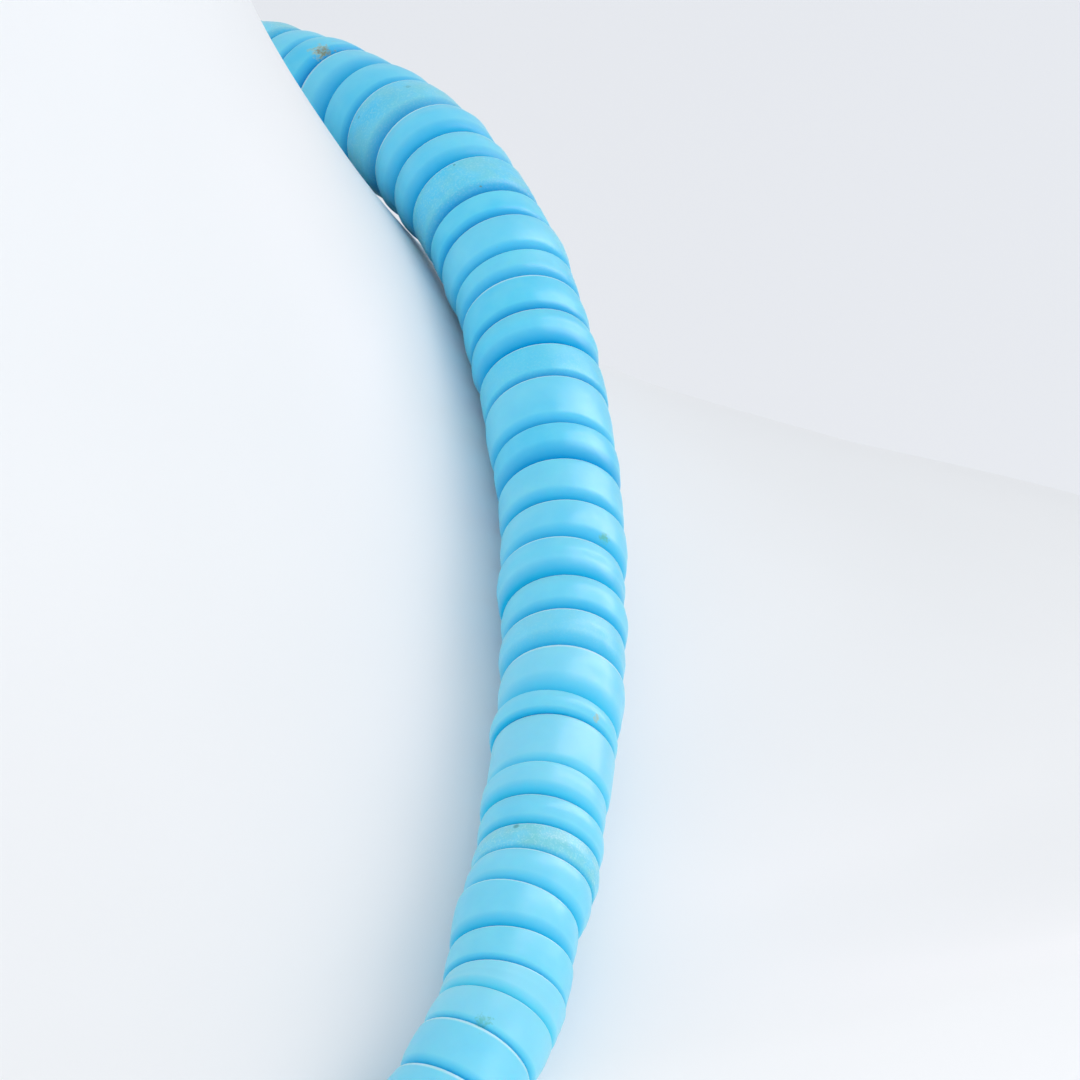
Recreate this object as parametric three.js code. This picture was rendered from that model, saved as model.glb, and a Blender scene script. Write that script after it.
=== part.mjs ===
// A beaded necklace of turquoise discs on a plain white neck bust.
// Millimetres, +Z up. The flat base of the bust is centred on the origin, the front faces -Y,
// and the wearer's left side is +X.
// The string is one closed loop round the neck: two strands that meet at the front centre,
// and a plain barrel clasp that joins their other ends at the nape.

import * as THREE from "three";

// Driving dimensions of the bust
const SHOULDER_HEIGHT = 149;
const NECK_RISE = 101;
const SHOULDER_HALF_WIDTH = 140;
const NECK_HALF_WIDTH = 46;
const CHEST_HALF_DEPTH = 77;
const NECK_HALF_DEPTH = 35;
const BASE_EDGE_ROUND = 3;
const TOP_EDGE_ROUND = 9;

// Driving dimensions of the string
const BEAD_DIAMETER = 8;
const BEAD_THICKNESS = 3.28;
const BEAD_EDGE_ROUND = 0.7;
const GROOVE_DEPTH = 0.9;
const SEAT_GAP = 0.3;
const MEETING_GAP = 0.3;

// The points that the string's route is drawn towards, from the front centre to the nape on
// the wearer's left: the turn round the bust in degrees from the front, and the level on the
// bust, as in SECTIONS below. Over the chest the string hangs in a bow, it bends at the
// shoulder's edge, and it rises along the side of the neck.
const ROUTE = [
  { turn: 0, level: -0.335 },
  { turn: 8.5, level: -0.305 },
  { turn: 16.5, level: -0.245 },
  { turn: 20.5, level: -0.148 },
  { turn: 22.5, level: 0 },
  { turn: 26.5, level: 0.055 },
  { turn: 26.5, level: 0.065 },
  { turn: 39, level: 0.148 },
  { turn: 48, level: 0.188 },
  { turn: 69, level: 0.297 },
  { turn: 96, level: 0.406 },
  { turn: 119, level: 0.401 },
  { turn: 150, level: 0.366 },
  { turn: 180, level: 0.322 },
];

// Driving dimensions of the clasp
const CLASP_LENGTH = 11;
const CLASP_DIAMETER = 6.4;
const CLASP_END_DIAMETER = 4.4;
const CLASP_BAND_WIDTH = 1.2;
const CLASP_BAND_HEIGHT = 0.4;

// How finely the surfaces are divided
const BUST_SIDES = 52;
const BEAD_SIDES = 12;
const CLASP_SIDES = 16;
const ROUTE_STEPS = 900;
const EDGE_STEPS = 3;

// Sections of the bust from base to top. level is -1 at the base, 0 at the shoulders' widest
// section and 1 at the top. flare is 0 at the neck's half width and 1 at the shoulders'.
// swell is 0 at the neck's half depth and 1 at the chest's. forward is how far the
// section's centre lies in front of the base's, as a share of the chest's half depth.
const SECTIONS = [
  { level: -1, flare: 0.425, swell: 0.45, forward: 0 },
  { level: -0.63, flare: 0.585, swell: 0.84, forward: 0.08 },
  { level: -0.295, flare: 0.82, swell: 1, forward: 0.12 },
  { level: -0.13, flare: 0.98, swell: 1, forward: 0.105 },
  { level: -0.05, flare: 0.995, swell: 0.98, forward: 0.095 },
  { level: 0, flare: 1, swell: 0.935, forward: 0.085 },
  { level: 0.06, flare: 0.97, swell: 0.855, forward: 0.07 },
  { level: 0.12, flare: 0.745, swell: 0.745, forward: 0.05 },
  { level: 0.19, flare: 0.505, swell: 0.64, forward: 0.03 },
  { level: 0.255, flare: 0.365, swell: 0.535, forward: 0.02 },
  { level: 0.345, flare: 0.245, swell: 0.385, forward: 0.035 },
  { level: 0.465, flare: 0.15, swell: 0.235, forward: 0.07 },
  { level: 0.605, flare: 0.075, swell: 0.125, forward: 0.115 },
  { level: 0.78, flare: 0.025, swell: 0.05, forward: 0.16 },
  { level: 1, flare: 0, swell: 0, forward: 0.18 },
];

// Rings of the bust: each zone ends at a level and holds so many rings.
const BUST_ZONES = [
  { level: -0.1, rings: 7 },
  { level: 0.5, rings: 16 },
  { level: 1, rings: 7 },
];

// Thickness of the beads as shares of BEAD_THICKNESS. The hidden stretches repeat a plain
// pattern, drawn out a little to fill them. The stretch on the wearer's left shoulder has
// its own run of thick and thin discs, which starts so far from the front centre.
const PLAIN_BEADS = [1, 0.9, 1.1, 0.95, 1.05];
const SHOULDER_RUN_START = 97;
const SHOULDER_RUN = [
  0.8, 0.7, 0.85, 1.1, 0.85, 0.65, 0.75, 0.75, 1.35, 0.55,
  1.3, 1.05, 0.9, 1.05, 1.1, 1.1, 1.05, 1.3, 1, 0.95,
  1.05, 0.85, 1.05, 0.85, 1.15, 1, 1.1, 1.35, 1.2, 1.2,
];

// Derived sizes
const BUST_HEIGHT = SHOULDER_HEIGHT + NECK_RISE;
const BEAD_RADIUS = BEAD_DIAMETER / 2;
const GROOVE_RADIUS = BEAD_RADIUS - GROOVE_DEPTH;
const SEAT_DISTANCE = BEAD_RADIUS + SEAT_GAP;

const bustMaterial = new THREE.MeshStandardMaterial({
  color: 0xf1f3f6,
  roughness: 0.25,
  metalness: 0,
});
const turquoiseMaterial = new THREE.MeshStandardMaterial({
  color: 0x4fb8e6,
  roughness: 0.5,
  metalness: 0,
});
const claspMaterial = new THREE.MeshStandardMaterial({
  color: 0xc9cbce,
  roughness: 0.25,
  metalness: 1,
});

const total = (values) => values.reduce((sum, value) => sum + value, 0);

// The height of a level of the bust.
function levelHeight(level) {
  return SHOULDER_HEIGHT + level * (level < 0 ? SHOULDER_HEIGHT : NECK_RISE);
}

// A smooth curve over the height through one column of SECTIONS, which never swings past
// a row: a cubic in each span, level where the column turns back.
function smoothColumn(column) {
  const at = SECTIONS.map((row) => levelHeight(row.level));
  const value = SECTIONS.map((row) => row[column]);
  const spans = SECTIONS.length - 1;
  const width = [];
  const slope = [];
  for (let i = 0; i < spans; i++) {
    width.push(at[i + 1] - at[i]);
    slope.push((value[i + 1] - value[i]) / width[i]);
  }
  const tangent = [slope[0]];
  for (let i = 1; i < spans; i++) {
    const before = 2 * width[i] + width[i - 1];
    const after = width[i] + 2 * width[i - 1];
    const turns = slope[i - 1] * slope[i] <= 0;
    tangent.push(turns ? 0 : (before + after) / (before / slope[i - 1] + after / slope[i]));
  }
  tangent.push(slope[spans - 1]);
  return (height) => {
    let i = 0;
    while (i < spans - 1 && height > at[i + 1]) i++;
    const t = (height - at[i]) / width[i];
    const bow = 1 - t;
    return (
      value[i] * (1 + 2 * t) * bow * bow +
      value[i + 1] * t * t * (3 - 2 * t) +
      width[i] * t * bow * (tangent[i] * bow - tangent[i + 1] * t)
    );
  };
}

const flareAt = smoothColumn("flare");
const swellAt = smoothColumn("swell");
const forwardAt = smoothColumn("forward");

// The ellipse that the bust has at a height: half its width and depth, and its centre in Y.
function bustSection(height) {
  return {
    halfWidth: NECK_HALF_WIDTH + flareAt(height) * (SHOULDER_HALF_WIDTH - NECK_HALF_WIDTH),
    halfDepth: NECK_HALF_DEPTH + swellAt(height) * (CHEST_HALF_DEPTH - NECK_HALF_DEPTH),
    centreY: -forwardAt(height) * CHEST_HALF_DEPTH,
  };
}

// A point on the bust. turn is 0 at the front and grows towards the wearer's left.
// inset draws the section in, for a rounded edge.
function bustPoint(turn, height, inset = 0) {
  const section = bustSection(height);
  return new THREE.Vector3(
    (section.halfWidth - inset) * Math.sin(turn),
    section.centreY - (section.halfDepth - inset) * Math.cos(turn),
    height,
  );
}

// The direction straight out of the bust's surface there.
function bustNormal(turn, height) {
  const turnStep = 1e-4;
  const heightStep = 1e-3;
  const around = bustPoint(turn + turnStep, height).sub(bustPoint(turn - turnStep, height));
  const upward = bustPoint(turn, height + heightStep).sub(bustPoint(turn, height - heightStep));
  return around.cross(upward).normalize();
}

// A closed body through rings of points that all run the same way round, with a flat
// fan over the first ring and over the last.
function ringBody(rings) {
  const sides = rings[0].length;
  const points = rings.flat();
  const last = (rings.length - 1) * sides;
  const middle = (ring) =>
    ring.reduce((sum, point) => sum.add(point), new THREE.Vector3()).divideScalar(sides);
  const firstCentre = points.push(middle(rings[0])) - 1;
  const lastCentre = points.push(middle(rings[rings.length - 1])) - 1;
  const faces = [];
  for (let side = 0; side < sides; side++) {
    const next = (side + 1) % sides;
    faces.push(firstCentre, next, side);
    faces.push(lastCentre, last + side, last + next);
    for (let ring = 0; ring < last; ring += sides) {
      faces.push(ring + side, ring + next, ring + sides + next);
      faces.push(ring + side, ring + sides + next, ring + sides + side);
    }
  }
  const geometry = new THREE.BufferGeometry().setFromPoints(points);
  geometry.setIndex(faces);
  geometry.computeVertexNormals();
  return geometry;
}

// The bust: a headless neck and shoulders with a flat base and a flat, rounded top.
function neckBust() {
  const levels = [];
  for (let step = 0; step <= EDGE_STEPS; step++) {
    const bend = (step / EDGE_STEPS) * (Math.PI / 2);
    levels.push({
      height: BASE_EDGE_ROUND * (1 - Math.cos(bend)),
      inset: BASE_EDGE_ROUND * (1 - Math.sin(bend)),
    });
  }
  let bottom = BASE_EDGE_ROUND;
  for (const zone of BUST_ZONES) {
    const top = Math.min(levelHeight(zone.level), BUST_HEIGHT - TOP_EDGE_ROUND);
    for (let ring = 1; ring <= zone.rings; ring++)
      levels.push({ height: bottom + ((top - bottom) * ring) / zone.rings, inset: 0 });
    bottom = top;
  }
  for (let step = 1; step <= EDGE_STEPS; step++) {
    const bend = (step / EDGE_STEPS) * (Math.PI / 2);
    levels.push({
      height: BUST_HEIGHT - TOP_EDGE_ROUND * (1 - Math.sin(bend)),
      inset: TOP_EDGE_ROUND * (1 - Math.cos(bend)),
    });
  }
  const rings = levels.map(({ height, inset }) => {
    const ring = [];
    for (let side = 0; side < BUST_SIDES; side++)
      ring.push(bustPoint((side / BUST_SIDES) * 2 * Math.PI, height, inset));
    return ring;
  });
  return ringBody(rings);
}

// The turn and height of one of the route's points. The one before the front centre and the
// one past the nape are mirror images.
function routePoint(index) {
  const last = ROUTE.length - 1;
  const { turn, level } = ROUTE[last - Math.abs(last - Math.abs(index))];
  const height = levelHeight(level);
  if (index < 0) return { turn: -turn, height };
  if (index > last) return { turn: 360 - turn, height };
  return { turn, height };
}

// The turn and height of the string after a share of its route: a cubic spline with an even
// bend, so that both strands run into each other at the front and at the nape.
function routePlace(share) {
  const spans = ROUTE.length - 1;
  const span = Math.min(Math.floor(share * spans), spans - 1);
  const t = share * spans - span;
  const bow = 1 - t;
  const weights = [
    bow ** 3,
    3 * t ** 3 - 6 * t ** 2 + 4,
    3 * bow ** 3 - 6 * bow ** 2 + 4,
    t ** 3,
  ];
  const mix = (column) =>
    total(weights.map((weight, i) => weight * routePoint(span + i - 1)[column])) / total(weights);
  return { turn: THREE.MathUtils.degToRad(mix("turn")), height: mix("height") };
}

// The string's centre line from the front centre to the nape on the wearer's left, with the
// distance run so far and the direction out of the bust at each point.
function halfRoute() {
  const route = [];
  let run = 0;
  for (let step = 0; step <= ROUTE_STEPS; step++) {
    const { turn, height } = routePlace(step / ROUTE_STEPS);
    const out = bustNormal(turn, height);
    const centre = bustPoint(turn, height).addScaledVector(out, SEAT_DISTANCE);
    if (step > 0) run += centre.distanceTo(route[step - 1].centre);
    route.push({ centre, out, run });
  }
  return route;
}

const route = halfRoute();
const halfLength = route[ROUTE_STEPS].run;

// The centre line's point at a distance from the front, with the string's direction there
// and two directions across it: out of the bust, and along the bust's surface.
function routeFrame(distance) {
  let i = 0;
  while (i < ROUTE_STEPS - 1 && route[i + 1].run < distance) i++;
  const share = (distance - route[i].run) / (route[i + 1].run - route[i].run);
  const centre = route[i].centre.clone().lerp(route[i + 1].centre, share);
  const along = route[i + 1].centre.clone().sub(route[i].centre).normalize();
  const out = route[i].out.clone().lerp(route[i + 1].out, share);
  out.addScaledVector(along, -out.dot(along)).normalize();
  const across = along.clone().cross(out);
  return { centre, out, across };
}

// One ring of points round the string.
function stringRing(distance, radius) {
  const { centre, out, across } = routeFrame(distance);
  const ring = [];
  for (let side = 0; side < BEAD_SIDES; side++) {
    const turn = ((side + 0.5) / BEAD_SIDES) * 2 * Math.PI;
    const point = centre.clone();
    point.addScaledVector(out, radius * Math.cos(turn));
    point.addScaledVector(across, radius * Math.sin(turn));
    ring.push(point);
  }
  return ring;
}

// The thicknesses of plain beads that fill a stretch of the string.
function plainStretch(from, to) {
  const shares = [];
  const count = Math.round((to - from) / BEAD_THICKNESS);
  for (let bead = 0; bead < count; bead++) shares.push(PLAIN_BEADS[bead % PLAIN_BEADS.length]);
  const scale = (to - from) / total(shares);
  return shares.map((share) => share * scale);
}

// The thickness of each bead of one strand, counted from the front.
function beadThicknesses(start, end, withShoulderRun) {
  if (!withShoulderRun) return plainStretch(start, end);
  const run = SHOULDER_RUN.map((share) => share * BEAD_THICKNESS);
  const runEnd = SHOULDER_RUN_START + total(run);
  return [...plainStretch(start, SHOULDER_RUN_START), ...run, ...plainStretch(runEnd, end)];
}

// One strand from the front centre to the clasp: a row of discs fused into one body, each
// with two rounded rims and a groove between it and the next. It is built on the wearer's
// left. The right strand is its mirror image, with plain beads all the way.
function beadStrand(mirrored) {
  const start = MEETING_GAP / 2;
  const end = halfLength - CLASP_LENGTH / 2 - MEETING_GAP;
  const rings = [stringRing(start, GROOVE_RADIUS)];
  let distance = start;
  for (const thickness of beadThicknesses(start, end, !mirrored)) {
    const next = distance + thickness;
    rings.push(stringRing(distance + BEAD_EDGE_ROUND, BEAD_RADIUS));
    rings.push(stringRing(next - BEAD_EDGE_ROUND, BEAD_RADIUS));
    rings.push(stringRing(next, GROOVE_RADIUS));
    distance = next;
  }
  if (mirrored) {
    for (const ring of rings) {
      for (const point of ring) point.x = -point.x;
      ring.reverse();
    }
  }
  return ringBody(rings);
}

// The clasp: a plain barrel with a raised band at each end and small flat ends.
function claspBarrel() {
  const half = CLASP_LENGTH / 2;
  const radius = CLASP_DIAMETER / 2;
  const endRadius = CLASP_END_DIAMETER / 2;
  const shoulder = radius - endRadius;
  const bandRadius = radius + CLASP_BAND_HEIGHT;
  const bandEnd = half - shoulder;
  const bandStart = bandEnd - CLASP_BAND_WIDTH;
  const profile = [
    [0, -half],
    [endRadius, -half],
    [radius, -bandEnd],
    [bandRadius, -bandEnd],
    [bandRadius, -bandStart],
    [radius, -bandStart],
    [radius, bandStart],
    [bandRadius, bandStart],
    [bandRadius, bandEnd],
    [radius, bandEnd],
    [endRadius, half],
    [0, half],
  ];
  const points = profile.map(([x, y]) => new THREE.Vector2(x, y));
  return new THREE.LatheGeometry(points, CLASP_SIDES);
}

// A named piece with a material of its own.
function piece(name, geometry, material) {
  const mesh = new THREE.Mesh(geometry, material);
  mesh.name = name;
  return mesh;
}

const bust = new THREE.Group();
bust.add(piece("neck_bust", neckBust(), bustMaterial));

const necklace = new THREE.Group();
necklace.add(piece("bead_strand_left", beadStrand(false), turquoiseMaterial));
necklace.add(piece("bead_strand_right", beadStrand(true), turquoiseMaterial.clone()));

// The barrel lies across the nape, on the string's own line.
const clasp = piece("clasp", claspBarrel(), claspMaterial);
clasp.position.copy(route[ROUTE_STEPS].centre);
clasp.rotation.z = -Math.PI / 2;
necklace.add(clasp);

const necklaceOnBust = new THREE.Group();
necklaceOnBust.add(bust, necklace);

export default necklaceOnBust;
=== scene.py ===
# A beaded necklace of turquoise discs on a plain white neck bust: finish, light and camera.
# Metres, +Z up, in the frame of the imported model.

import math
import bpy
import numpy as np
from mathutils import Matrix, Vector


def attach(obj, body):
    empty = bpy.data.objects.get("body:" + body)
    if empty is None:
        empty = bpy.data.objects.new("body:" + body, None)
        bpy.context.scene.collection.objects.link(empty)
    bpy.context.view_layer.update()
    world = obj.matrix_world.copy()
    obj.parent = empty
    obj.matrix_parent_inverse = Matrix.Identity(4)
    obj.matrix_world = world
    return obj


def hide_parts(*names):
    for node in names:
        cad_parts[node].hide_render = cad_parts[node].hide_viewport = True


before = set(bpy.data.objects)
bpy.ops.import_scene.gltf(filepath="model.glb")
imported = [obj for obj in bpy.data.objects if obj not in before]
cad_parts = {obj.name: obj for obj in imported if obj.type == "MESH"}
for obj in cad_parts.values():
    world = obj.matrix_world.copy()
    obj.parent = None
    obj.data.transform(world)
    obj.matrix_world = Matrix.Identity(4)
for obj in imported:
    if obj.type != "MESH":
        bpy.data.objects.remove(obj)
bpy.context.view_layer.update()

MM = 0.001

# Driving dimensions of the bust
SHOULDER_HEIGHT = 149 * MM
NECK_RISE = 101 * MM
SHOULDER_HALF_WIDTH = 140 * MM
NECK_HALF_WIDTH = 46 * MM
CHEST_HALF_DEPTH = 77 * MM
NECK_HALF_DEPTH = 35 * MM
BASE_EDGE_ROUND = 3 * MM
TOP_EDGE_ROUND = 9 * MM
BUST_HEIGHT = SHOULDER_HEIGHT + NECK_RISE

# Driving dimensions of the string
BEAD_DIAMETER = 8 * MM
BEAD_THICKNESS = 3.28 * MM
SEAT_GAP = 0.3 * MM
MEETING_GAP = 0.3 * MM
BEAD_RADIUS = BEAD_DIAMETER / 2

# The points that the string's route is drawn towards, from the front centre to the nape on
# the wearer's left: degrees round the bust, and the level on it, as in the solid model
ROUTE = np.array([
    (0, -0.335),
    (8.5, -0.305),
    (16.5, -0.245),
    (20.5, -0.148),
    (22.5, 0),
    (26.5, 0.055),
    (26.5, 0.065),
    (39, 0.148),
    (48, 0.188),
    (69, 0.297),
    (96, 0.406),
    (119, 0.401),
    (150, 0.366),
    (180, 0.322),
])
ROUTE_STEPS = 900

# Driving dimensions of the clasp
CLASP_LENGTH = 11 * MM
CLASP_DIAMETER = 6.4 * MM
CLASP_END_DIAMETER = 4.4 * MM
CLASP_BAND_WIDTH = 1.2 * MM
CLASP_BAND_HEIGHT = 0.4 * MM

# Sections of the bust: level, flare, swell and forward, as in the solid model
SECTIONS = np.array([
    (-1, 0.425, 0.45, 0),
    (-0.63, 0.585, 0.84, 0.08),
    (-0.295, 0.82, 1, 0.12),
    (-0.13, 0.98, 1, 0.105),
    (-0.05, 0.995, 0.98, 0.095),
    (0, 1, 0.935, 0.085),
    (0.06, 0.97, 0.855, 0.07),
    (0.12, 0.745, 0.745, 0.05),
    (0.19, 0.505, 0.64, 0.03),
    (0.255, 0.365, 0.535, 0.02),
    (0.345, 0.245, 0.385, 0.035),
    (0.465, 0.15, 0.235, 0.07),
    (0.605, 0.075, 0.125, 0.115),
    (0.78, 0.025, 0.05, 0.16),
    (1, 0, 0, 0.18),
])
LEVEL, FLARE, SWELL, FORWARD = range(4)

# Thickness shares of the beads: a plain pattern, and the run on the left shoulder, which
# starts so far from the front centre
PLAIN_BEADS = [1, 0.9, 1.1, 0.95, 1.05]
SHOULDER_RUN_START = 97 * MM
SHOULDER_RUN = [
    0.8, 0.7, 0.85, 1.1, 0.85, 0.65, 0.75, 0.75, 1.35, 0.55,
    1.3, 1.05, 0.9, 1.05, 1.1, 1.1, 1.05, 1.3, 1, 0.95,
    1.05, 0.85, 1.05, 0.85, 1.15, 1, 1.1, 1.35, 1.2, 1.2,
]

# Camera: the photograph's view of the shoulder
VIEW_TURN = math.radians(-5.09)
VIEW_DROP = math.radians(21.14)
VIEW_DISTANCE = 650 * MM
VIEW_TARGET = Vector((69.22, -50.46, 185.85)) * MM
SENSOR_WIDTH = 36
LENS = 341.2


def add_camera():
    """The camera, which looks down at the left shoulder from the front."""
    forward = Vector((
        -math.sin(VIEW_TURN) * math.cos(VIEW_DROP),
        math.cos(VIEW_TURN) * math.cos(VIEW_DROP),
        -math.sin(VIEW_DROP),
    ))
    data = bpy.data.cameras.new("camera")
    data.lens = LENS
    data.sensor_width = SENSOR_WIDTH
    data.clip_start = 10 * MM
    data.clip_end = 50
    camera = bpy.data.objects.new("camera", data)
    camera.location = VIEW_TARGET - forward * VIEW_DISTANCE
    camera.rotation_euler = forward.to_track_quat("-Z", "Y").to_euler()
    bpy.context.scene.collection.objects.link(camera)
    bpy.context.scene.camera = camera


def level_height(level):
    """The height of a level of the bust."""
    return SHOULDER_HEIGHT + level * np.where(level < 0, SHOULDER_HEIGHT, NECK_RISE)


def smooth_column(column):
    """A smooth curve over the height through one column of SECTIONS. It never swings past a
    row."""
    at = level_height(SECTIONS[:, LEVEL])
    value = SECTIONS[:, column]
    width = np.diff(at)
    slope = np.diff(value) / width
    tangent = np.zeros(len(value))
    tangent[0] = slope[0]
    tangent[-1] = slope[-1]
    for i in range(1, len(slope)):
        if slope[i - 1] * slope[i] > 0:
            before = 2 * width[i] + width[i - 1]
            after = width[i] + 2 * width[i - 1]
            tangent[i] = (before + after) / (before / slope[i - 1] + after / slope[i])

    def curve(height):
        i = np.clip(np.searchsorted(at, height) - 1, 0, len(slope) - 1)
        t = (height - at[i]) / width[i]
        bow = 1 - t
        return (
            value[i] * (1 + 2 * t) * bow**2
            + value[i + 1] * t**2 * (3 - 2 * t)
            + width[i] * t * bow * (tangent[i] * bow - tangent[i + 1] * t)
        )

    return curve


flare_at = smooth_column(FLARE)
swell_at = smooth_column(SWELL)
forward_at = smooth_column(FORWARD)


def unit(vectors):
    """The vectors, each scaled to length 1."""
    return vectors / np.linalg.norm(vectors, axis=-1, keepdims=True)


def bust_point(turn, height, inset=0):
    """Points on the bust. turn is 0 at the front and grows towards the wearer's left."""
    half_width = NECK_HALF_WIDTH + flare_at(height) * (SHOULDER_HALF_WIDTH - NECK_HALF_WIDTH)
    half_depth = NECK_HALF_DEPTH + swell_at(height) * (CHEST_HALF_DEPTH - NECK_HALF_DEPTH)
    centre_y = -forward_at(height) * CHEST_HALF_DEPTH
    x = (half_width - inset) * np.sin(turn)
    y = centre_y - (half_depth - inset) * np.cos(turn)
    return np.stack(np.broadcast_arrays(x, y, height), axis=-1)


def bust_normal(turn, height):
    """The direction straight out of the bust's surface there, from four points close by."""
    turn_step = 1e-4
    height_step = 1e-6
    around = bust_point(turn + turn_step, height) - bust_point(turn - turn_step, height)
    upward = bust_point(turn, height + height_step) - bust_point(turn, height - height_step)
    return unit(np.cross(around, upward))


def route_places():
    """Turns and heights along the route: a cubic spline towards the route's points."""
    turn = np.radians(ROUTE[:, 0])
    height = level_height(ROUTE[:, 1])
    turn = np.concatenate([[-turn[1]], turn, [2 * math.pi - turn[-2]]])
    height = np.concatenate([[height[1]], height, [height[-2]]])
    spans = len(ROUTE) - 1
    share = np.linspace(0, spans, ROUTE_STEPS + 1)
    span = np.minimum(share.astype(int), spans - 1)
    t = share - span
    bow = 1 - t
    weights = np.array([
        bow**3,
        3 * t**3 - 6 * t**2 + 4,
        3 * bow**3 - 6 * bow**2 + 4,
        t**3,
    ]) / 6
    near = span + np.arange(4)[:, None]
    return (weights * turn[near]).sum(axis=0), (weights * height[near]).sum(axis=0)


class Route:
    """The string's centre line from the front centre to the nape on the wearer's left."""

    def __init__(self):
        turn, height = route_places()
        self.out = bust_normal(turn, height)
        self.centre = bust_point(turn, height) + self.out * (BEAD_RADIUS + SEAT_GAP)
        steps = np.diff(self.centre, axis=0)
        self.run = np.concatenate([[0], np.cumsum(np.linalg.norm(steps, axis=1))])
        self.along = unit(np.gradient(self.centre, self.run, axis=0))
        self.length = self.run[-1]

    def frame(self, distance):
        """Centre, direction along, direction out of the bust and direction across, there."""
        centre = np.array([np.interp(distance, self.run, axis) for axis in self.centre.T])
        along = unit(np.array([np.interp(distance, self.run, axis) for axis in self.along.T]))
        out = np.array([np.interp(distance, self.run, axis) for axis in self.out.T])
        out = unit(out - along * out.dot(along))
        return centre, along, out, np.cross(along, out)


route = Route()


def mesh_object(name, points, faces):
    """A smooth mesh object from points and faces, added to the scene."""
    mesh = bpy.data.meshes.new(name)
    mesh.from_pydata(np.asarray(points).reshape(-1, 3).tolist(), [], faces)
    mesh.validate()
    mesh.polygons.foreach_set("use_smooth", [True] * len(mesh.polygons))
    mesh.update()
    thing = bpy.data.objects.new(name, mesh)
    bpy.context.scene.collection.objects.link(thing)
    return thing


def ring_faces(rings, sides, first=0, closed=False):
    """Four-sided faces between rings of points that all run the same way round."""
    faces = []
    for ring in range(rings if closed else rings - 1):
        low = first + ring * sides
        high = first + (ring + 1) % rings * sides
        for side in range(sides):
            next_side = (side + 1) % sides
            faces.append((low + side, low + next_side, high + next_side, high + side))
    return faces


# The bust

BUST_SIDES = 224
BUST_EDGE_STEPS = 10
BUST_CAP_RINGS = 6
BUST_CAP_HOLE = 0.15

# Bands of the bust's side, from the base up: the level where each ends, and its rings
BUST_BANDS = [(-0.1, 54), (0.5, 110), (1, 44)]


def bust_levels():
    """Height, inset and share of the full size of each ring, from the base to the top."""
    levels = []
    for share in np.linspace(BUST_CAP_HOLE, 1, BUST_CAP_RINGS):
        levels.append((0, BASE_EDGE_ROUND, share))
    for step in range(1, BUST_EDGE_STEPS + 1):
        bend = step / BUST_EDGE_STEPS * math.pi / 2
        height = BASE_EDGE_ROUND * (1 - math.cos(bend))
        levels.append((height, BASE_EDGE_ROUND * (1 - math.sin(bend)), 1))
    bottom = BASE_EDGE_ROUND
    for level, rings in BUST_BANDS:
        top = min(float(level_height(np.float64(level))), BUST_HEIGHT - TOP_EDGE_ROUND)
        for ring in range(1, rings + 1):
            levels.append((bottom + (top - bottom) * ring / rings, 0, 1))
        bottom = top
    for step in range(1, BUST_EDGE_STEPS + 1):
        bend = step / BUST_EDGE_STEPS * math.pi / 2
        height = BUST_HEIGHT - TOP_EDGE_ROUND * (1 - math.sin(bend))
        levels.append((height, TOP_EDGE_ROUND * (1 - math.cos(bend)), 1))
    for share in np.linspace(1, BUST_CAP_HOLE, BUST_CAP_RINGS)[1:]:
        levels.append((BUST_HEIGHT, TOP_EDGE_ROUND, share))
    return levels


def make_bust(material):
    """The smooth moulded bust, with a rounded top edge and a flat base."""
    turn = np.arange(BUST_SIDES) / BUST_SIDES * 2 * math.pi
    rings = []
    for height, inset, share in bust_levels():
        ring = bust_point(turn, np.full(BUST_SIDES, float(height)), inset)
        middle = ring.mean(axis=0)
        rings.append(middle + (ring - middle) * share)
    faces = ring_faces(len(rings), BUST_SIDES)
    last = (len(rings) - 1) * BUST_SIDES
    faces.append(tuple(reversed(range(BUST_SIDES))))
    faces.append(tuple(range(last, last + BUST_SIDES)))
    bust = mesh_object("bust_surface", rings, faces)
    bust.data.materials.append(material)
    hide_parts("neck_bust")
    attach(bust, "root")


# The beads

LEFT_SEED = 11
RIGHT_SEED = 12
BEAD_SIDES = 50
EDGE_STEPS = 6
HOLE_RADIUS = 0.5 * MM
FACE_POINT_RADIUS = BEAD_RADIUS * 0.55
FACE_GAP = 0.02 * MM

# The most that a rim bows out, the least share of that, where ripples lie across the rim, and
# how deep they are at most
RIM_CROWN_MOST = 0.16 * MM
RIM_CROWN_LEAST_SHARE = 0.1
RIM_PLACES = (0.2, 0.4, 0.6, 0.8)
RIM_RIPPLE = 0.04 * MM

# The rounding of a bead towards the front centre is wide and deep, and the one behind is
# tight. Each is a depth and a share of the thickness, times a draw between two shares.
FRONT_EDGE_DEPTH = 0.72 * MM
BACK_EDGE_DEPTH = 0.26 * MM
FRONT_EDGE_SHARE = 0.34
BACK_EDGE_SHARE = 0.11
EDGE_DRAW = (0.5, 1.25)

# How the beads differ: lean of a joint, shift off the line and its limits, least and most
# growth, and the most that the outline is out of round in two and in three lobes
TILT_SPREAD = 0.014
SHIFT_SPREAD = 0.1 * MM
SHIFT_LIMITS = (-0.2 * MM, 0.08 * MM)
SIZE_DRAW = (-0.014, 0.004)
OVAL_MOST = 0.006
LOBES_MOST = 0.004

# The beads high on the shoulder are a little larger and rounder. All sit so much closer to
# the bust than the solids do.
HIGH_BEAD_GROWTH = 0.045
HIGH_EDGE_GROWTH = 0.35
HIGH_BEADS_AFTER = 14 * MM
HIGH_BEADS_RISE = 40 * MM
SEAT_CLOSER = 0.16 * MM

# The faces of a bead, towards the front centre and away from it
FRONT_FACE, BACK_FACE = range(2)

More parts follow.
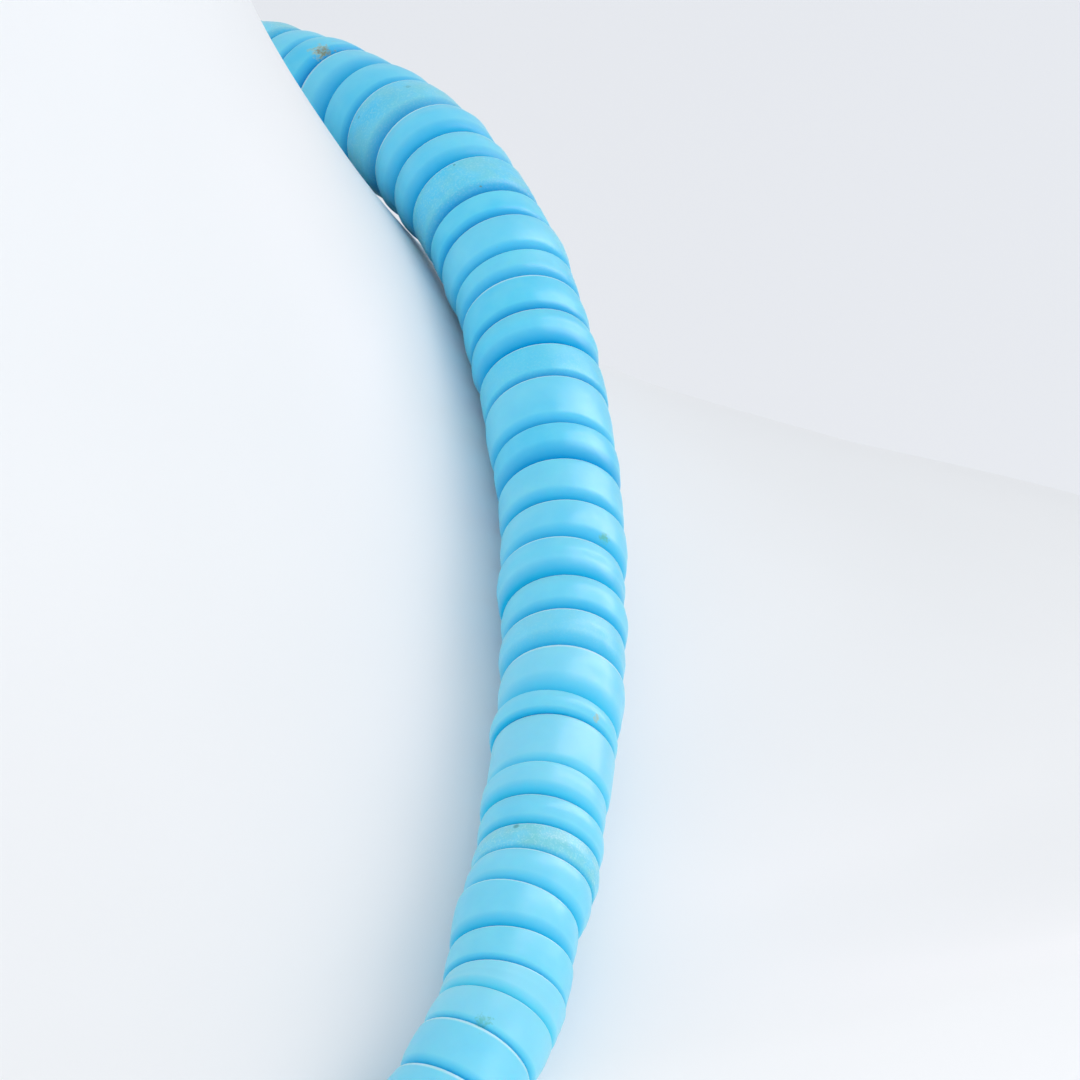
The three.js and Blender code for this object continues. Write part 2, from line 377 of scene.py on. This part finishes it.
# Levels of painted light on a bead's surface: painted shade deep in the groove, none on
# the rim, and a painted highlight along the back edge
GROOVE_SHADE_LEVEL = 1
RIM_UNPAINTED_LEVEL = 0.5
EDGE_HIGHLIGHT_LEVEL = 0


def plain_stretch(start, end):
    """Thicknesses of plain beads that fill a stretch of the string."""
    count = round((end - start) / BEAD_THICKNESS)
    shares = np.resize(PLAIN_BEADS, count)
    return shares * (end - start) / shares.sum()


def bead_joints(with_shoulder_run):
    """Distances of the joints between the beads of one strand, from the front centre, and
    the number of beads before the shoulder's run."""
    start = MEETING_GAP / 2
    end = route.length - CLASP_LENGTH / 2 - MEETING_GAP
    if with_shoulder_run:
        run = np.array(SHOULDER_RUN) * BEAD_THICKNESS
        before = plain_stretch(start, SHOULDER_RUN_START)
        after = plain_stretch(SHOULDER_RUN_START + run.sum(), end)
        thicknesses = np.concatenate([before, run, after])
        first_of_run = len(before)
    else:
        thicknesses = plain_stretch(start, end)
        first_of_run = None
    return start + np.concatenate([[0], np.cumsum(thicknesses)]), first_of_run


def bead_profile(thickness, front_edge, back_edge, crown, ripples):
    """Half outline of a drilled disc: how far in from the rim, how far from a face, which
    face, and the level of painted light there: painted shade in the groove, a painted
    highlight along the back edge. An edge is a quarter of an ellipse, with a depth and a
    share of the thickness. The rim between the edges bows out and has faint ripples that
    run round it. Its points have no face, and lie at shares of the thickness."""

    def half(depth, edge_share, face, painted_light_of):
        points = []
        for radius in (HOLE_RADIUS, FACE_POINT_RADIUS):
            points.append((BEAD_RADIUS - radius, 0, face, GROOVE_SHADE_LEVEL))
        length = edge_share * thickness
        for share in np.linspace(0, 1, EDGE_STEPS + 1):
            bend = share * math.pi / 2
            place = (depth * (1 - math.sin(bend)), length * (1 - math.cos(bend)))
            points.append((*place, face, painted_light_of(share)))
        return points

    # Painted shade, strongest deep in the groove
    def groove_shade(share):
        return RIM_UNPAINTED_LEVEL + (GROOVE_SHADE_LEVEL - RIM_UNPAINTED_LEVEL) * (1 - share) ** 0.8

    # Painted highlight, strongest halfway round the back edge
    def edge_highlight(share):
        return RIM_UNPAINTED_LEVEL + (EDGE_HIGHLIGHT_LEVEL - RIM_UNPAINTED_LEVEL) * math.sin(share * math.pi) ** 2

    front = half(*front_edge, FRONT_FACE, groove_shade)
    back = half(*back_edge, BACK_FACE, edge_highlight)
    start = front_edge[1]
    end = 1 - back_edge[1]
    rim = []
    for share, ripple in zip(RIM_PLACES, ripples):
        bow = crown * 4 * share * (1 - share)
        rim.append((ripple - bow, start + (end - start) * share, None, RIM_UNPAINTED_LEVEL))
    return front + rim + back[::-1]


def bead_height(distance):
    """From 0 low on the chest to 1 high on the shoulder, for a distance from the front."""
    past_start = distance - SHOULDER_RUN_START - HIGH_BEADS_AFTER
    share = np.clip(past_start / HIGH_BEADS_RISE, 0, 1)
    return share**2 * (3 - 2 * share)


def joint_plane(distance, draw):
    """A point and a direction: the plane in which two beads meet, a little off square."""
    centre, along, out, across = route.frame(distance)
    lean = draw.normal(0, TILT_SPREAD, 2)
    return centre, unit(along + out * lean[0] + across * lean[1])


def bead_points(low, high, middle, height, draw):
    """The points of one disc between two joint planes, and their levels of painted light."""
    centre, along, out, across = middle
    growth = HIGH_BEAD_GROWTH * height
    shift = np.clip(draw.normal(0, SHIFT_SPREAD, 2), *SHIFT_LIMITS)
    centre = centre + out * abs(shift[0]) + across * shift[1]
    size = 1 + growth + draw.uniform(*SIZE_DRAW)
    centre = centre + out * (growth * BEAD_RADIUS - SEAT_CLOSER)
    oval, oval_turn, lobes, lobes_turn = draw.uniform(0, 1, 4)
    thickness = (high[0] - low[0]).dot(along)
    round_by = draw.uniform(*EDGE_DRAW, 4)
    rounder = 1 + HIGH_EDGE_GROWTH * height
    front_edge = (
        FRONT_EDGE_DEPTH * rounder * round_by[0],
        FRONT_EDGE_SHARE * rounder * round_by[1],
    )
    back_edge = (BACK_EDGE_DEPTH * round_by[2], BACK_EDGE_SHARE * round_by[3])
    turn = (np.arange(BEAD_SIDES) + 0.5) / BEAD_SIDES * 2 * math.pi
    outward = np.outer(np.cos(turn), out) + np.outer(np.sin(turn), across)
    uneven = size * (
        1
        + OVAL_MOST * oval * np.cos(2 * turn + oval_turn * 2 * math.pi)
        + LOBES_MOST * lobes * np.cos(3 * turn + lobes_turn * 2 * math.pi)
    )
    crown = RIM_CROWN_MOST * draw.uniform(RIM_CROWN_LEAST_SHARE, 1)
    ripples = RIM_RIPPLE * draw.uniform(0, 1, len(RIM_PLACES))
    profile = bead_profile(thickness, front_edge, back_edge, crown, ripples)
    rings = []
    for inset, depth, face, _ in profile:
        radius = (BEAD_RADIUS - inset) * uneven
        base = centre + outward * radius[:, None]
        ends = []
        for (point, direction), sign in ((low, 1), (high, -1)):
            reach = (point - base) @ direction / along.dot(direction)
            ends.append(reach + sign * FACE_GAP / 2)
        if face is None:
            travel = ends[0] + (ends[1] - ends[0]) * depth
        elif face == FRONT_FACE:
            travel = ends[0] + depth
        else:
            travel = ends[1] - depth
        rings.append(base + travel[:, None] * along)
    return rings, [painted_light for *_, painted_light in profile]


def make_strand(name, node, mirrored, seed, material):
    """One strand of separate drilled discs, each with a tone of its own."""
    draw = np.random.default_rng(seed)
    joints, first_of_run = bead_joints(not mirrored)
    planes = [joint_plane(distance, draw) for distance in joints]
    points = []
    faces = []
    tones_and_painted_light = []
    for bead in range(len(joints) - 1):
        middle = route.frame((joints[bead] + joints[bead + 1]) / 2)
        height = bead_height(joints[bead])
        rings, painted_lights = bead_points(planes[bead], planes[bead + 1], middle, height, draw)
        faces += ring_faces(len(rings), BEAD_SIDES, len(points) * BEAD_SIDES, closed=True)
        points += rings
        in_run = bead - first_of_run if first_of_run else None
        tone = bead_tone(in_run, height, draw)
        # The last place of each point's tone holds its painted light: shade in the groove,
        # highlight on the back edge
        for painted_light in painted_lights:
            tones_and_painted_light += [(*tone, painted_light)] * BEAD_SIDES
    points = np.array(points).reshape(-1, 3)
    if mirrored:
        points[:, 0] *= -1
        faces = [face[::-1] for face in faces]
    strand = mesh_object(name, points, faces)
    layer = strand.data.attributes.new("bead_tone", "FLOAT_COLOR", "POINT")
    layer.data.foreach_set("color", np.array(tones_and_painted_light, dtype=np.float32).ravel())
    strand.data.materials.append(material)
    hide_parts(node)
    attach(strand, "root")


# Beads of the shoulder run that are greener than the rest, counted from its lower end. The
# others there, and so many beads before them, are hardly green at all.
GREENER = {5: 0.5, 11: 0.15, 18: 0.12, 24: 0.36, 27: 0.32}
BLUE_BEADS_BEFORE_RUN = 8
BLUE_BEAD_GREEN = 0.08

# The greenest that a bead gets by chance
GREEN_MOST = 0.6

# Lightness that a bead low on the chest has at least, the range above it, and how much of
# that range a bead high on the shoulder loses
LOW_LIGHT = 0.45
LIGHT_RANGE = 0.5
HIGH_LIGHT_LOSS = 0.12

# Specks of matrix in the shoulder run: bead, degrees round it from the outermost line, share
# of the way along it, radius, colour and strength
BROWN = (0.2, 0.24, 0.16, 1)
TAN = (0.42, 0.55, 0.42, 1)
TEAL = (0.02, 0.3, 0.36, 1)
OLIVE = (0.12, 0.5, 0.42, 1)
SPECKS = [
    (30, -66, 0.27, 0.85 * MM, TAN, 0.8),
    (30, -64, 0.2, 0.62 * MM, BROWN, 0.9),
    (27, -54, 0.7, 0.34 * MM, TEAL, 0.5),
    (27, -108, 0.86, 0.12 * MM, TEAL, 0.8),
    (25, -40, 0.2, 0.08 * MM, TEAL, 0.8),
    (24, -71, 0.9, 0.13 * MM, TEAL, 0.9),
    (24, -58, 0.14, 0.15 * MM, BROWN, 0.9),
    (22, -65, 0.16, 0.16 * MM, BROWN, 0.6),
    (21, -2, 0.2, 0.1 * MM, TEAL, 0.7),
    (14, 13, 0.2, 0.5 * MM, OLIVE, 0.85),
    (9, 23, 0.4, 0.36 * MM, TAN, 0.8),
    (0, -10, 0.1, 0.6 * MM, OLIVE, 0.6),
]


def speck_point(bead, degrees, share):
    """The point on the rim of a bead of the shoulder run where a speck lies."""
    joints, first_of_run = bead_joints(True)
    start, end = joints[first_of_run + bead], joints[first_of_run + bead + 1]
    centre, along, out, across = route.frame(start + share * (end - start))
    growth = HIGH_BEAD_GROWTH * bead_height(start)
    turn = math.radians(degrees)
    outward = out * math.cos(turn) + across * math.sin(turn)
    seat = out * (growth * BEAD_RADIUS - SEAT_CLOSER)
    return tuple(centre + seat + outward * BEAD_RADIUS * (1 + growth))


def bead_tone(in_run, height, draw):
    """Lightness, greenness and seed of a bead's stone. in_run counts from the start of the
    shoulder's run. The stones low on the chest are a little paler."""
    light_range = LIGHT_RANGE - HIGH_LIGHT_LOSS * height
    light = draw.uniform(0, 1) * light_range + LOW_LIGHT * (1 - height)
    green = draw.uniform(0, 1) ** 4 * GREEN_MOST
    seed = draw.uniform(0, 1)
    if in_run is not None and -BLUE_BEADS_BEFORE_RUN <= in_run < len(SHOULDER_RUN):
        green = GREENER.get(in_run, BLUE_BEAD_GREEN * green)
    return light, green, seed


# The clasp

CLASP_SIDES = 96
CLASP_EDGE = 0.18 * MM
CLASP_EDGE_STEPS = 4


def rounded_outline(corners, edge):
    """An outline with each inner corner rounded by a short curve, which takes up less than
    half of a side."""
    outline = [corners[0]]
    for before, corner, after in zip(corners, corners[1:], corners[2:]):
        before, corner, after = np.array(before), np.array(corner), np.array(after)
        reach_in = min(edge, np.linalg.norm(before - corner) * 0.45)
        reach_out = min(edge, np.linalg.norm(after - corner) * 0.45)
        start = corner + unit(before - corner) * reach_in
        end = corner + unit(after - corner) * reach_out
        for step in range(CLASP_EDGE_STEPS + 1):
            t = step / CLASP_EDGE_STEPS
            outline.append(tuple(start * (1 - t) ** 2 + corner * 2 * t * (1 - t) + end * t**2))
    outline.append(corners[-1])
    return outline


def make_clasp(material):
    """A plain silver barrel across the nape, with a raised band at each end."""
    half = CLASP_LENGTH / 2
    radius = CLASP_DIAMETER / 2
    end_radius = CLASP_END_DIAMETER / 2
    band_radius = radius + CLASP_BAND_HEIGHT
    band_end = half - (radius - end_radius)
    band_start = band_end - CLASP_BAND_WIDTH
    side = [
        (HOLE_RADIUS, half),
        (end_radius, half),
        (radius, band_end),
        (band_radius, band_end),
        (band_radius, band_start),
        (radius, band_start),
    ]
    corners = side + [(across, -along) for across, along in reversed(side)]
    outline = rounded_outline(corners, CLASP_EDGE)
    turn = np.arange(CLASP_SIDES) / CLASP_SIDES * 2 * math.pi
    centre = route.centre[-1]
    rings = []
    for across, along in outline:
        ring = np.stack([
            np.full(CLASP_SIDES, along),
            across * np.cos(turn),
            across * np.sin(turn),
        ], axis=-1)
        rings.append(ring + centre)
    faces = [face[::-1] for face in ring_faces(len(rings), CLASP_SIDES, closed=True)]
    clasp = mesh_object("clasp_barrel", rings, faces)
    clasp.data.materials.append(material)
    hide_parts("clasp")
    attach(clasp, "root")


# Materials

class Finish:
    """A material with one surface shader, and short calls that add nodes to it."""

    def __init__(self, name):
        self.material = bpy.data.materials.new(name)
        self.material.use_nodes = True
        self.tree = self.material.node_tree
        self.tree.nodes.clear()
        output = self.tree.nodes.new("ShaderNodeOutputMaterial")
        self.shader = self.tree.nodes.new("ShaderNodeBsdfPrincipled")
        self.tree.links.new(self.shader.outputs[0], output.inputs["Surface"])
        place = self.tree.nodes.new("ShaderNodeTexCoord")
        self.place = place.outputs["Object"]

    def set(self, **values):
        """Give the shader's own inputs plain values."""
        for name, value in values.items():
            self.shader.inputs[name.replace("_", " ")].default_value = value

    def feed(self, socket, source):
        """Link a node's output to one of the shader's inputs."""
        self.tree.links.new(source, self.shader.inputs[socket])

    def node(self, kind, inputs, **settings):
        """A node with its inputs set or linked. Returns the node."""
        node = self.tree.nodes.new(kind)
        for name, value in settings.items():
            setattr(node, name, value)
        for name, value in inputs.items():
            if isinstance(value, bpy.types.NodeSocket):
                self.tree.links.new(value, node.inputs[name])
            else:
                node.inputs[name].default_value = value
        return node

    def noise(self, scale, detail=2, roughness=0.5, place=None):
        """Cloudy noise from 0 to 1. The scale is in cells for each metre."""
        inputs = {
            "Vector": place or self.place,
            "Scale": scale,
            "Detail": detail,
            "Roughness": roughness,
        }
        return self.node("ShaderNodeTexNoise", inputs).outputs["Fac"]

    def spread(self, value, low, high, to_low=0.0, to_high=1.0):
        """A value from low to high, spread over to_low to to_high and held at the ends."""
        inputs = {
            "Value": value,
            "From Min": low,
            "From Max": high,
            "To Min": to_low,
            "To Max": to_high,
        }
        return self.node("ShaderNodeMapRange", inputs).outputs["Result"]

    def times(self, first, second):
        """The product of two values."""
        inputs = {0: first, 1: second}
        return self.node("ShaderNodeMath", inputs, operation="MULTIPLY").outputs[0]

    def blend(self, share, first, second):
        """The first colour, blended over to the second by a share."""
        inputs = {"Factor": share, "A": first, "B": second}
        node = self.tree.nodes.new("ShaderNodeMix")
        node.data_type = "RGBA"
        for name, value in inputs.items():
            socket = next(s for s in node.inputs if s.name == name and s.enabled)
            if isinstance(value, bpy.types.NodeSocket):
                self.tree.links.new(value, socket)
            else:
                socket.default_value = value
        return next(s for s in node.outputs if s.enabled)

    def bump(self, height, strength, distance):
        """A surface direction for a height that runs from 0 to a distance."""
        inputs = {"Height": height, "Strength": strength, "Distance": distance}
        return self.node("ShaderNodeBump", inputs).outputs["Normal"]


# Colours of the stone
DEEP_BLUE = (0.03, 0.62, 0.95, 1)
SKY_BLUE = (0.11, 0.7, 0.97, 1)
PALE_BLUE = (0.28, 0.75, 0.97, 1)
GREEN_STONE = (0.2, 0.64, 0.68, 1)
PALE_FLECKS = (0.5, 0.84, 0.92, 1)
# Painted shade in the groove between beads, for dark and for light beads
DARK_GROOVE_SHADE = (0, 0.29, 0.66, 1)
LIGHT_GROOVE_SHADE = (0, 0.62, 0.95, 1)
# Painted highlight along each bead's back edge
EDGE_HIGHLIGHT_COLOUR = (0.56, 0.84, 0.97, 1)


def stone_colour(finish, light, green, painted_light, place):
    """The clouded blue of the stone, greener in some beads, with painted shade in the groove
    between beads and a painted highlight along each bead's back edge."""
    clouds = finish.noise(300, 3, 0.55, place)
    colour = finish.blend(finish.spread(clouds, 0.3, 0.7), DEEP_BLUE, SKY_BLUE)
    colour = finish.blend(finish.spread(light, 0, 1, 0, 0.85), colour, PALE_BLUE)
    patches = finish.spread(finish.noise(420, 2, 0.5, place), 0.35, 0.6, 0.1, 1.5)
    colour = finish.blend(finish.times(green, patches), colour, GREEN_STONE)
    grain = finish.noise(7000, 2, 0.6, place)
    flecks = finish.times(finish.spread(grain, 0.5, 0.7), green)
    colour = finish.blend(flecks, colour, PALE_FLECKS)

    # Painted shade: the groove between beads is darkened to a deep blue, most on dark beads
    groove_shade_colour = finish.blend(light, DARK_GROOVE_SHADE, LIGHT_GROOVE_SHADE)
    groove_shade_strength = finish.spread(light, 0.2, 0.95, 1, 0.6)
    depth = finish.times(finish.spread(painted_light, 0.52, 0.88), groove_shade_strength)
    colour = finish.blend(depth, colour, groove_shade_colour)
    # Painted highlight: a pale line along each bead's back edge
    return finish.blend(finish.spread(painted_light, 0.42, 0.1, 0, 0.75), colour, EDGE_HIGHLIGHT_COLOUR)


def add_specks(finish, colour, place):
    """The colour with the ragged specks of SPECKS on it, and a few small random ones."""
    ragged = finish.spread(finish.noise(2300, 4, 0.7), 0.32, 0.68, 0.45, 1.8)
    broken = finish.spread(finish.noise(5200, 2), 0.4, 0.56, 0.35, 1)
    for bead, degrees, share, radius, stain, strength in SPECKS:
        inputs = {0: finish.place, 1: speck_point(bead, degrees, share)}
        away = finish.node("ShaderNodeVectorMath", inputs, operation="DISTANCE")
        ragged_away = finish.times(away.outputs["Value"], ragged)
        mark = finish.spread(ragged_away, radius, radius * 0.6, 0, strength)
        colour = finish.blend(finish.times(mark, broken), colour, stain)

    cells = finish.node("ShaderNodeTexVoronoi", {"Vector": place, "Scale": 420})
    cell_tone = finish.node("ShaderNodeSeparateColor", {"Color": cells.outputs["Color"]})
    chosen = finish.spread(cell_tone.outputs[0], 0.975, 0.98)
    spot = finish.spread(cells.outputs["Distance"], 0.11, 0.05, 0, 0.8)
    return finish.blend(finish.times(chosen, spot), colour, TEAL)


def turquoise():
    """Waxy sky-blue stone: cloudy, mottled, greener in places, with a few brown specks. Each
    bead's seed moves its pattern, so that no bead goes on where the last one stops."""
    finish = Finish("turquoise_stone")
    tone = finish.node("ShaderNodeAttribute", {}, attribute_name="bead_tone")
    parts = finish.node("ShaderNodeSeparateColor", {"Color": tone.outputs["Color"]})
    light, green, seed = parts.outputs
    # The alpha of the tone is the painted light: painted shade in the groove and a painted
    # highlight on the back edge
    painted_light = tone.outputs["Alpha"]
    inputs = {0: finish.place, 1: seed}
    place = finish.node("ShaderNodeVectorMath", inputs, operation="ADD").outputs[0]

    colour = stone_colour(finish, light, green, painted_light, place)
    finish.feed("Base Color", add_specks(finish, colour, place))
    mottle = finish.noise(1500, 3, 0.6, place)
    finish.feed("Roughness", finish.spread(mottle, 0.3, 0.7, 0.31, 0.4))
    dents = finish.noise(520, 1, 0.4, place)
    finish.feed("Normal", finish.bump(dents, 0.5, 0.12 * MM))
    finish.feed("Specular IOR Level", finish.spread(painted_light, 0.52, 0.85, 0.5, 0))
    finish.set(IOR=1.62, Subsurface_Weight=0.6, Subsurface_Scale=1.1 * MM)
    finish.set(Subsurface_Radius=(0.15, 0.75, 1))
    return finish.material


def bust_white():
    """Glossy white moulding, very faintly uneven in tone and gloss."""
    finish = Finish("bust_gloss_white")
    waves = finish.noise(38, 2)
    tint = finish.spread(waves, 0.3, 0.7)
    finish.feed("Base Color", finish.blend(tint, (0.885, 0.9, 0.915, 1), (0.9, 0.915, 0.93, 1)))
    finish.feed("Roughness", finish.spread(waves, 0.3, 0.7, 0.38, 0.44))
    finish.set(IOR=1.5, Specular_IOR_Level=0.16)
    return finish.material


def clasp_silver():
    """Satin silver with fine turned lines and slightly dulled patches."""
    finish = Finish("clasp_silver")
    dull = finish.noise(900, 3)
    dulled = finish.spread(dull, 0.35, 0.7)
    finish.feed("Base Color", finish.blend(dulled, (0.78, 0.78, 0.79, 1), (0.66, 0.65, 0.64, 1)))
    finish.feed("Roughness", finish.spread(dull, 0.3, 0.7, 0.2, 0.34))
    inputs = {"Vector": finish.place, "Scale": 5000, "Distortion": 0.2, "Detail": 1}
    lines = finish.node("ShaderNodeTexWave", inputs, bands_direction="X")
    finish.feed("Normal", finish.bump(lines.outputs["Fac"], 0.12, 0.02 * MM))
    finish.set(Metallic=1.0)
    return finish.material


def floor_finish():
    """A plain pale studio floor."""
    finish = Finish("studio_floor")
    cloud = finish.noise(2.5, 2)
    finish.feed("Base Color", finish.blend(cloud, (0.9, 0.92, 0.95, 1), (0.93, 0.95, 0.98, 1)))
    finish.set(Roughness=0.8)
    return finish.material


# The studio

FLOOR_RADIUS = 14
FLOOR_SIDES = 96
FLOOR_RINGS = 8
FLOOR_DROP = 0.1 * MM


def add_floor():
    """A wide round floor, a hair below the base."""
    turn = np.arange(FLOOR_SIDES) / FLOOR_SIDES * 2 * math.pi
    rings = []
    for radius in np.linspace(0.05, 1, FLOOR_RINGS) * FLOOR_RADIUS:
        ring = [radius * np.cos(turn), radius * np.sin(turn), np.zeros(FLOOR_SIDES)]
        rings.append(np.stack(ring, axis=-1))
    faces = ring_faces(len(rings), FLOOR_SIDES)
    faces = [face[::-1] for face in faces]
    faces.append(tuple(range(FLOOR_SIDES)))
    floor = mesh_object("studio_floor", rings, faces)
    floor.location.z = -FLOOR_DROP
    floor.data.materials.append(floor_finish())


SKY_COLOUR = (0.95, 0.965, 0.99, 1)
SKY_STRENGTH = 0.8

# Soft lights: degrees round the bust from the front, degrees above the shoulder, distance,
# width, height and power
KEY = (55, 25, 1.6, 1.0, 1.0, 4.4)
KEY_COLOUR = (1, 0.95, 0.92)
FILL = (5, 6, 2.2, 1.8, 1.8, 8)
FILL_COLOUR = (0.94, 0.98, 1)
BACK = (128, 30, 1.5, 0.6, 0.9, 1.6)
BACK_COLOUR = (1, 0.97, 0.98)
STRIP = (122, 40, 1.5, 0.36, 2, 9)
STRIP_COLOUR = (1, 0.76, 0.87)


def add_light(name, light, colour, lights_matt=True):
    """A soft light, aimed at the shoulder. One that doesn't light matt surfaces only shines
    in the gloss."""
    turn, rise, distance, width, height, power = light
    turn, rise = math.radians(turn), math.radians(rise)
    way = Vector((
        math.sin(turn) * math.cos(rise),
        -math.cos(turn) * math.cos(rise),
        math.sin(rise),
    ))
    data = bpy.data.lights.new(name, "AREA")
    data.shape = "RECTANGLE"
    data.size = width
    data.size_y = height
    data.energy = power
    data.color = colour
    lamp = bpy.data.objects.new(name, data)
    lamp.location = VIEW_TARGET + way * distance
    lamp.rotation_euler = (-way).to_track_quat("-Z", "Y").to_euler()
    lamp.visible_camera = False
    lamp.visible_diffuse = lights_matt
    bpy.context.scene.collection.objects.link(lamp)


def add_studio():
    """A pale floor, an even sky and soft lights."""
    add_floor()
    world = bpy.data.worlds.new("studio")
    world.use_nodes = True
    sky = world.node_tree.nodes["Background"]
    sky.inputs["Color"].default_value = SKY_COLOUR
    sky.inputs["Strength"].default_value = SKY_STRENGTH
    bpy.context.scene.world = world
    bpy.context.scene.view_settings.view_transform = "Standard"
    add_light("key", KEY, KEY_COLOUR)
    add_light("fill", FILL, FILL_COLOUR)
    add_light("back", BACK, BACK_COLOUR)
    add_light("strip", STRIP, STRIP_COLOUR, lights_matt=False)


add_camera()
add_studio()
make_bust(bust_white())
stone = turquoise()
make_strand("beads_left", "bead_strand_left", False, LEFT_SEED, stone)
make_strand("beads_right", "bead_strand_right", True, RIGHT_SEED, stone)
make_clasp(clasp_silver())
